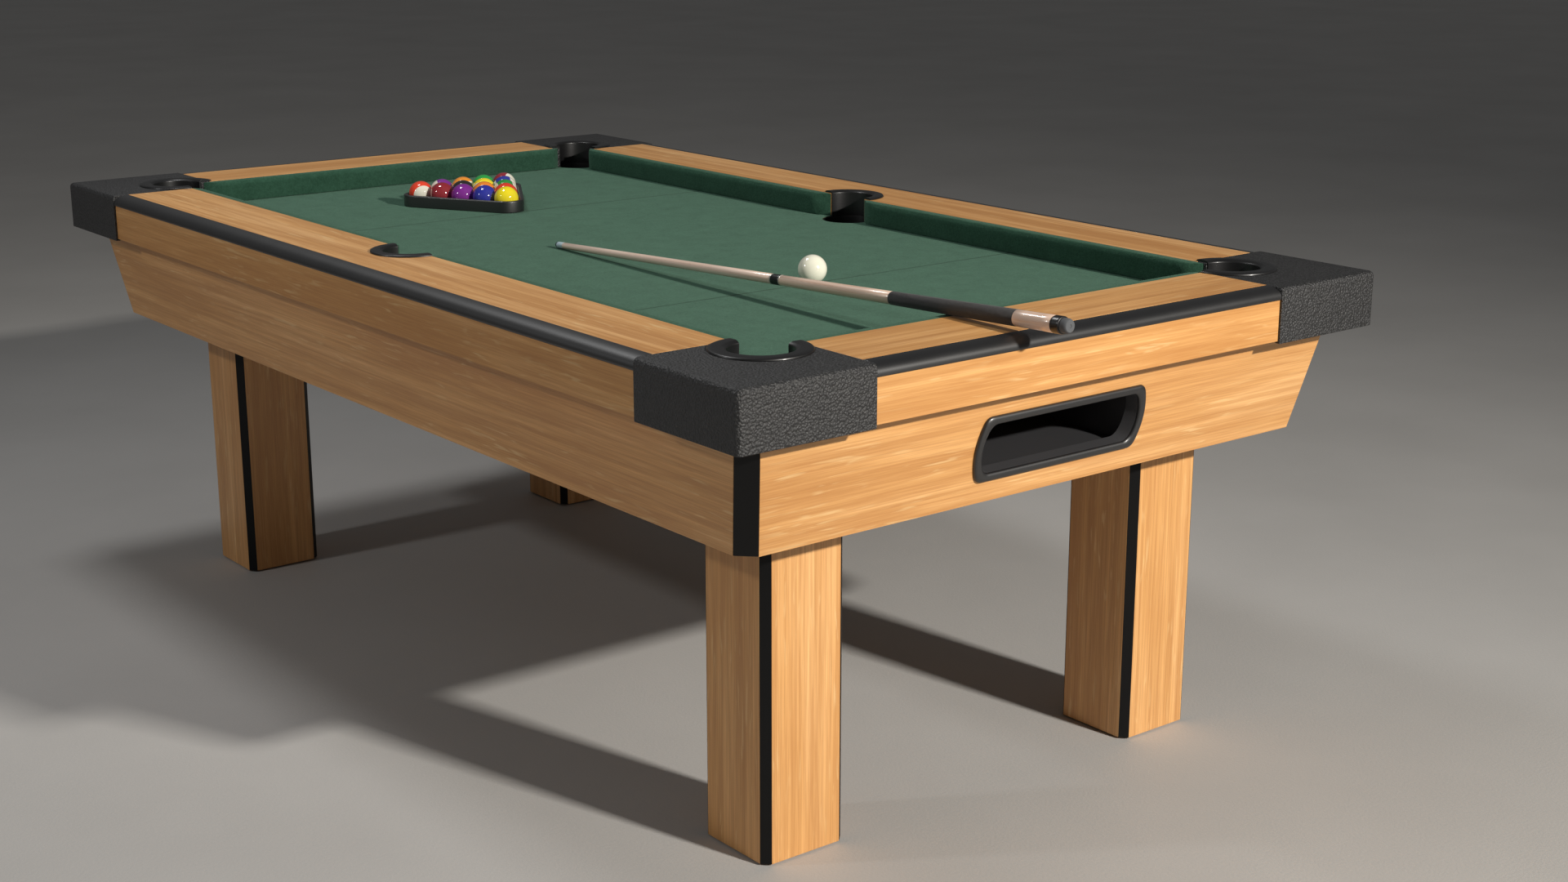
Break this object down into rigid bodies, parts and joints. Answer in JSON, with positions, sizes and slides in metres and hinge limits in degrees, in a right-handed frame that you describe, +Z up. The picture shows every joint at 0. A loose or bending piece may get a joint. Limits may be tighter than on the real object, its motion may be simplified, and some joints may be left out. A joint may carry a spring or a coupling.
{
  "type": "pool table",
  "caption": "Home pool table with dropped pockets and an end ball return, on square legs, with cue, balls and a triangle rack.",
  "frame": {"origin": "on the floor, at the middle of the set's whole footprint; the cue passes the front end by 76 mm, so the table's own middle is 38 mm behind it in +Y", "axes": "+Z up; +Y along the table from the ball-return (front) end to the racked-ball (back) end; +X to the right as seen from the front end"},
  "size_m": [1.346, 2.4258, 0.8594],
  "materials": {
    "wood": "fine straight-grained orange-tan laminate, satin",
    "inner_wood": "plain sawn board, unfinished",
    "bed_board": "bare fibreboard",
    "cloth": "napped green pool cloth, stretched",
    "cushion_cloth": "darker green cloth pulled over a rubber strip",
    "black_grained": "black plastic with a pebbled leather grain",
    "black_satin": "smooth black satin moulding",
    "black_trim": "flat black trim strip",
    "liner": "black moulded plastic",
    "steel": "zinc-plated",
    "ivory": "polished ivory white",
    "ball_colours": "polished, solid and striped colours",
    "maple": "lacquered pale maple",
    "grey_rubber": "plain grey rubber"
  },
  "bodies": {
    "table": {"bed_slab": "bed_board", "bed_cloth": "cloth", "bed_beam_front": "inner_wood", "bed_beam_mid_front": "inner_wood", "bed_beam_mid_back": "inner_wood", "bed_beam_back": "inner_wood", "end_rail_front": "wood", "edge_bumper_front": "black_satin", "cabinet_panel_front": "wood", "side_rail_right": "wood", "edge_bumper_right": "black_satin", "cabinet_panel_right": "wood", "end_rail_back": "wood", "edge_bumper_back": "black_satin", "cabinet_panel_back": "wood", "side_rail_left": "wood", "edge_bumper_left": "black_satin", "cabinet_panel_left": "wood", "cushion_front": "cushion_cloth", "cushion_back": "cushion_cloth", "cushion_left_front": "cushion_cloth", "cushion_left_back": "cushion_cloth", "cushion_right_front": "cushion_cloth", "cushion_right_back": "cushion_cloth", "corner_casting_front_left": "black_grained", "pocket_liner_front_left": "liner", "cabinet_corner_front_left": "black_trim", "leg_front_left": "wood", "leg_trim_front_left": "black_trim", "corner_casting_front_right": "black_grained", "pocket_liner_front_right": "liner", "cabinet_corner_front_right": "black_trim", "leg_front_right": "wood", "leg_trim_front_right": "black_trim", "corner_casting_back_right": "black_grained", "pocket_liner_back_right": "liner", "cabinet_corner_back_right": "black_trim", "leg_back_right": "wood", "leg_trim_back_right": "black_trim", "corner_casting_back_left": "black_grained", "pocket_liner_back_left": "liner", "cabinet_corner_back_left": "black_trim", "leg_back_left": "wood", "leg_trim_back_left": "black_trim", "pocket_liner_middle_left": "liner", "pocket_liner_middle_right": "liner", "ball_return_bezel": "black_satin", "ball_return_tray": "liner", "ball_gully_left": "liner", "ball_gully_right": "liner"},
    "leveller_front_left": {"leg_leveller_front_left": "steel"},
    "leveller_front_right": {"leg_leveller_front_right": "steel"},
    "leveller_back_right": {"leg_leveller_back_right": "steel"},
    "leveller_back_left": {"leg_leveller_back_left": "steel"},
    "cue": {"cue_shaft": "maple", "cue_butt": "maple", "cue_bumper": "grey_rubber"},
    "cue_ball": {"cue_ball": "ivory"},
    "rack": {"rack_triangle": "black_satin"},
    "ball_set": {"racked_balls": "ball_colours"}
  },
  "joints": [
    {"name": "level_front_left", "type": "slide", "parent": "table", "child": "leveller_front_left", "axis": [0, 0, -1], "range_m": [0, 0.02]},
    {"name": "level_front_right", "type": "slide", "parent": "table", "child": "leveller_front_right", "axis": [0, 0, -1], "range_m": [0, 0.02]},
    {"name": "level_back_right", "type": "slide", "parent": "table", "child": "leveller_back_right", "axis": [0, 0, -1], "range_m": [0, 0.02]},
    {"name": "level_back_left", "type": "slide", "parent": "table", "child": "leveller_back_left", "axis": [0, 0, -1], "range_m": [0, 0.02]},
    {"name": "cue_lift", "type": "slide", "parent": "table", "child": "cue", "axis": [0, 0, 1], "range_m": [0, 0.3]},
    {"name": "cue_ball_roll", "type": "slide", "parent": "table", "child": "cue_ball", "axis": [0, 1, 0], "range_m": [-0.45, 0.9]},
    {"name": "rack_lift", "type": "slide", "parent": "table", "child": "rack", "axis": [0, 0, 1], "range_m": [0, 0.2]},
    {"name": "ball_set_lift", "type": "slide", "parent": "table", "child": "ball_set", "axis": [0, 0, 1], "range_m": [0, 0.2]}
  ]
}
